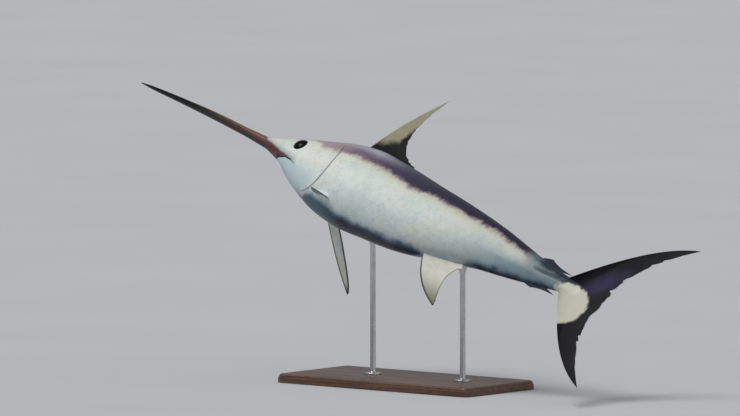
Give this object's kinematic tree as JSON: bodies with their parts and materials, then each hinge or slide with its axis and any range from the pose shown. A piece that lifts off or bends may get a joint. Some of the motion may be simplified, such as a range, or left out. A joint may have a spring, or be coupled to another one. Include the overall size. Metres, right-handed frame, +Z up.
{
  "type": "swordfish model on a display stand",
  "caption": "Life-size swordfish model in a leaping pose, head up and banked to show its flank and belly, held over a flat rectangular base by slim upright rods.",
  "frame": {"origin": "centre of the stand base's underside, on the floor", "axes": "+X from the fish's head towards its tail along the base's length, +Z up"},
  "size_m": [2.5691, 0.795, 1.1174],
  "materials": {
    "silver_skin": "wet gloss over silvery skin with a dark violet back",
    "dark_fin_skin": "wet gloss, near-black brown with a violet sheen",
    "cream_fin_skin": "wet gloss, cream with dark thin margins",
    "grey_fin_skin": "wet gloss, grey-green with dark edges",
    "bill_horn": "satin horn, black at the tip to reddish brown",
    "eye_black": "high gloss, near-black blue",
    "stand_walnut": "satin varnish",
    "stand_steel": "fine brushed"
  },
  "bodies": {
    "root": {"bill": "bill_horn", "head": "silver_skin", "lower_jaw": "silver_skin", "gill_cover_left": "silver_skin", "gill_cover_right": "silver_skin", "eye_left": "eye_black", "eye_right": "eye_black", "trunk_front": "silver_skin", "trunk_rear": "silver_skin", "tail_stalk": "silver_skin", "keel_left": "dark_fin_skin", "keel_right": "dark_fin_skin", "first_dorsal_fin": "dark_fin_skin", "second_dorsal_fin": "dark_fin_skin", "first_anal_fin": "cream_fin_skin", "second_anal_fin": "dark_fin_skin", "pectoral_fin_left": "grey_fin_skin", "pectoral_fin_right": "grey_fin_skin", "tail_lobe_upper": "dark_fin_skin", "tail_lobe_lower": "dark_fin_skin", "stand_base": "stand_walnut", "stand_rod_front": "stand_steel", "stand_rod_rear": "stand_steel"}
  },
  "joints": []
}
